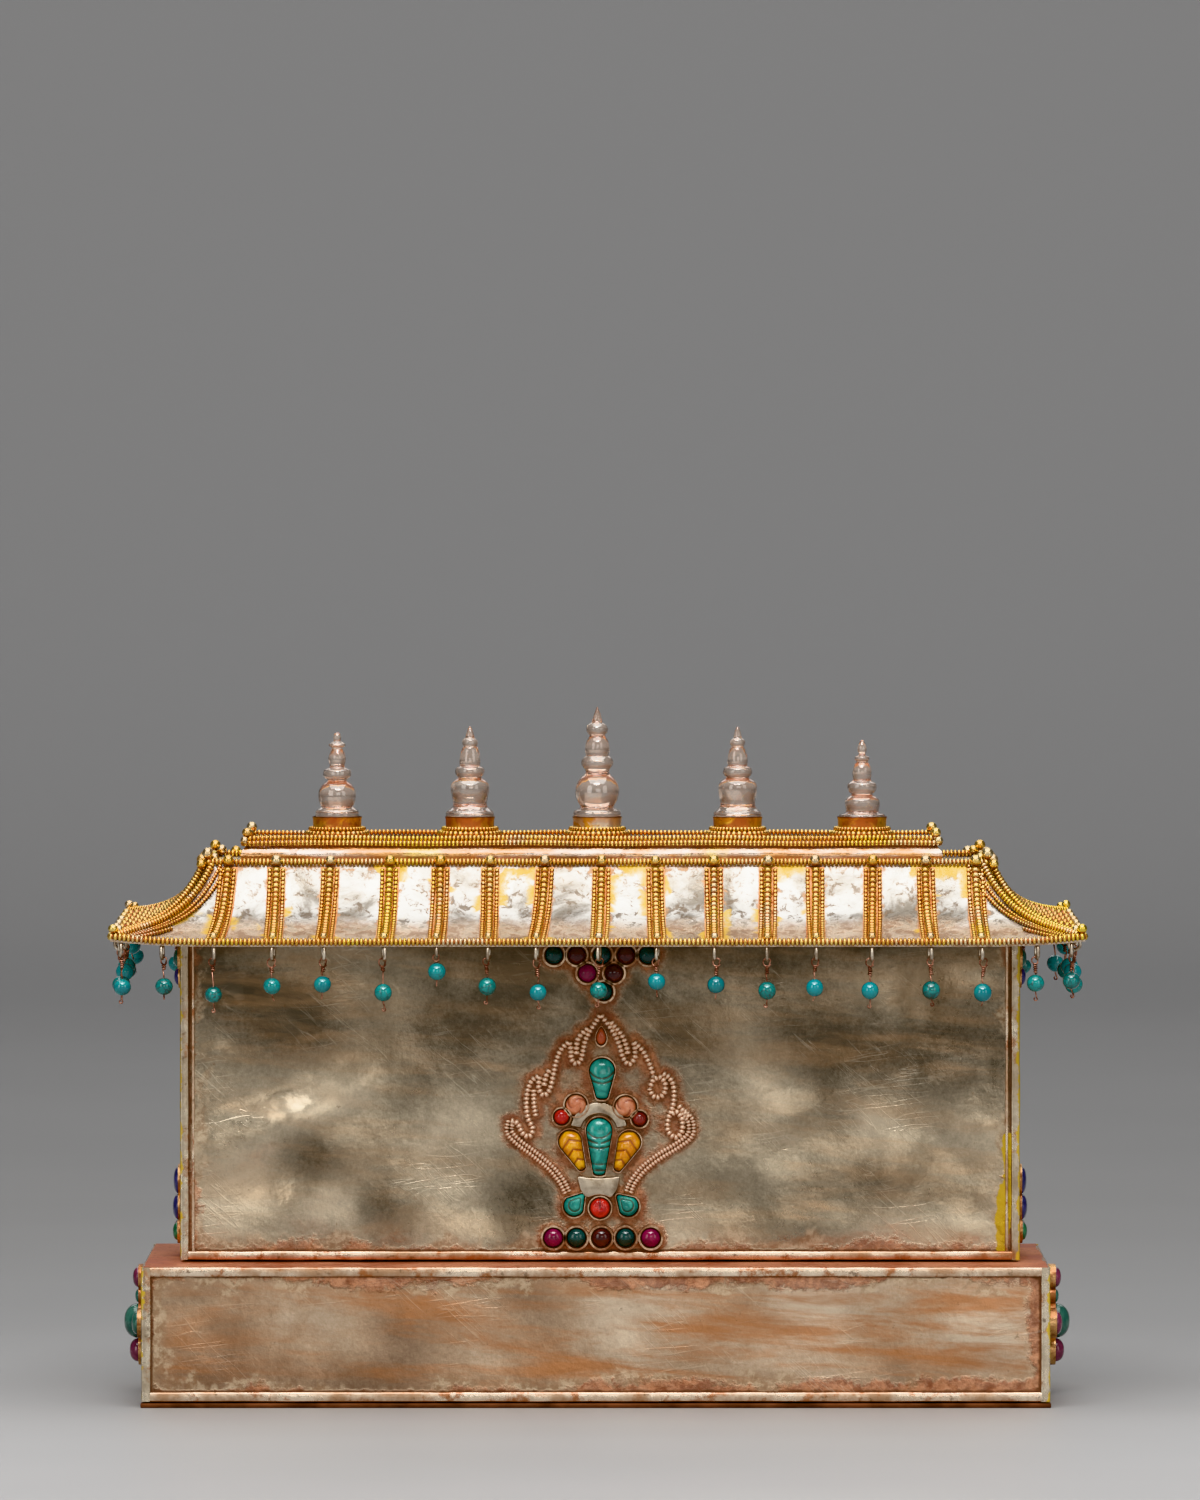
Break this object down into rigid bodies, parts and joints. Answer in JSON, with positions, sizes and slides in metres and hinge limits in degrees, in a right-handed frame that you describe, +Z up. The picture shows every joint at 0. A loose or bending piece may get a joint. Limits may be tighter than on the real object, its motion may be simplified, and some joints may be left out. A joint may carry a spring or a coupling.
{
  "type": "altar box",
  "caption": "Hollow rectangular metal altar box on a low plinth, with a lift-off hipped roof, crystal finials, bead fringe and a jewelled medallion.",
  "frame": {"origin": "middle of the footprint, on the surface the box stands on", "axes": "+Z up, +X to the right of the jewelled face, which looks along -Y"},
  "size_m": [0.2436, 0.112, 0.1738],
  "materials": {
    "copper": "dull copper sheet",
    "silver_plinth": "tarnished silver over copper, rubbed to copper in places",
    "silver_body": "dented, tarnished silver over copper",
    "silver_roof": "bright silver with spotted tarnish",
    "silver_crown": "bright silver with copper at the edges",
    "silver_setting": "worn silver bezels with red-brown patina",
    "silver_wire": "beaded silver wire with red-brown patina",
    "gilt_wire": "beaded gilt wire with red-brown patina in the recesses",
    "gilt_collar": "gilt sheet, worn",
    "rock_crystal": "clear, slightly milky quartz, polished",
    "turquoise_bead": "polished turquoise",
    "carved_turquoise": "carved, polished turquoise",
    "carved_amber": "carved amber-coloured stone",
    "salmon_coral": "carved salmon coral",
    "red_coral": "polished red coral",
    "garnet": "polished dark red cabochon",
    "ruby_glass": "polished magenta cabochon",
    "green_glass": "polished dark green cabochon",
    "end_stones": "cabochons in silver bezels"
  },
  "bodies": {
    "root": {"base_plate": "copper", "plinth": "silver_plinth", "box_body": "silver_body", "roof": "silver_roof", "roof_wirework": "gilt_wire", "crown": "silver_crown", "crown_ropes": "gilt_wire", "collar_1": "gilt_collar", "crystal_1": "rock_crystal", "collar_2": "gilt_collar", "crystal_2": "rock_crystal", "collar_3": "gilt_collar", "crystal_3": "rock_crystal", "collar_4": "gilt_collar", "crystal_4": "rock_crystal", "collar_5": "gilt_collar", "crystal_5": "rock_crystal", "fringe": "turquoise_bead", "medallion_settings": "silver_setting", "medallion_wire": "silver_wire", "crest_stone": "red_coral", "turquoise_upper": "carved_turquoise", "turquoise_centre": "carved_turquoise", "amber_left": "carved_amber", "green_left": "carved_turquoise", "coral_left": "salmon_coral", "amber_right": "carved_amber", "green_right": "carved_turquoise", "coral_right": "salmon_coral", "red_ball_left": "red_coral", "red_ball_right": "garnet", "coral_round": "red_coral", "foot_settings": "silver_setting", "eave_settings": "silver_setting", "foot_stone_1": "ruby_glass", "foot_stone_2": "green_glass", "foot_stone_3": "garnet", "foot_stone_4": "green_glass", "foot_stone_5": "ruby_glass", "eave_stone_1": "green_glass", "eave_stone_2": "garnet", "eave_stone_3": "green_glass", "eave_stone_4": "garnet", "eave_stone_5": "green_glass", "eave_stone_6": "ruby_glass", "eave_stone_7": "garnet", "eave_stone_8": "green_glass", "left_eave_cluster": "end_stones", "left_body_cluster": "end_stones", "left_plinth_cluster": "end_stones", "right_eave_cluster": "end_stones", "right_body_cluster": "end_stones", "right_plinth_cluster": "end_stones"}
  },
  "joints": []
}
